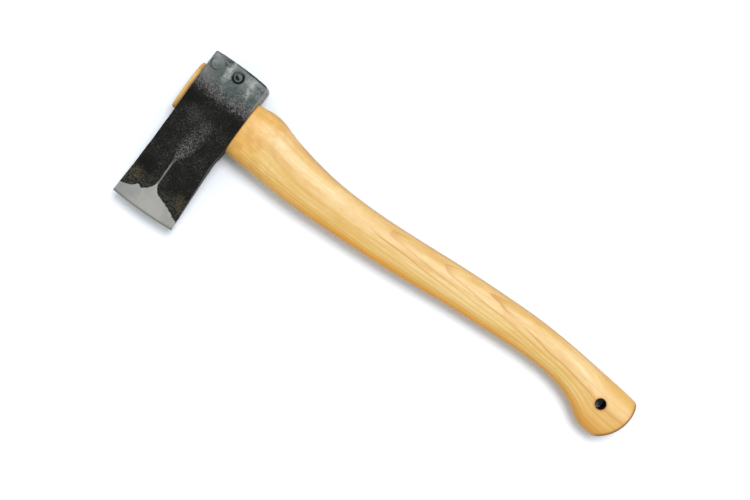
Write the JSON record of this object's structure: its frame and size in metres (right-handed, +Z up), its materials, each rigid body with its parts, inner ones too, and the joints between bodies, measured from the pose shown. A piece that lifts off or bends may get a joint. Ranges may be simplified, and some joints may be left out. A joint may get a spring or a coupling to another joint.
{
  "type": "splitting hatchet",
  "caption": "Short splitting hatchet: forged wedge-shaped head with a hammer poll, wedged onto a curved wooden handle with a swelled knob and a hanging hole.",
  "frame": {"origin": "on the lower cheek, straight below the centre of the eye; z = 0 is the plane of that cheek, which the head lies on", "axes": "+X along the handle from the head to the knob, +Y from the cutting edge to the poll, +Z up through both cheeks, along the hanging hole"},
  "size_m": [0.498, 0.1582, 0.04],
  "materials": {
    "forged_steel": "hammer-forged steel with black scale, blue-grey hammered poll and satin ground bevels",
    "handle_wood": "oiled pale hickory, straight grain",
    "wedge_wood": "dry hardwood, sawn end",
    "wedge_steel": "plain barbed steel, hammered end"
  },
  "bodies": {
    "root": {"head": "forged_steel", "handle": "handle_wood", "kerf_wedge": "wedge_wood", "cross_wedge": "wedge_steel"}
  },
  "joints": []
}
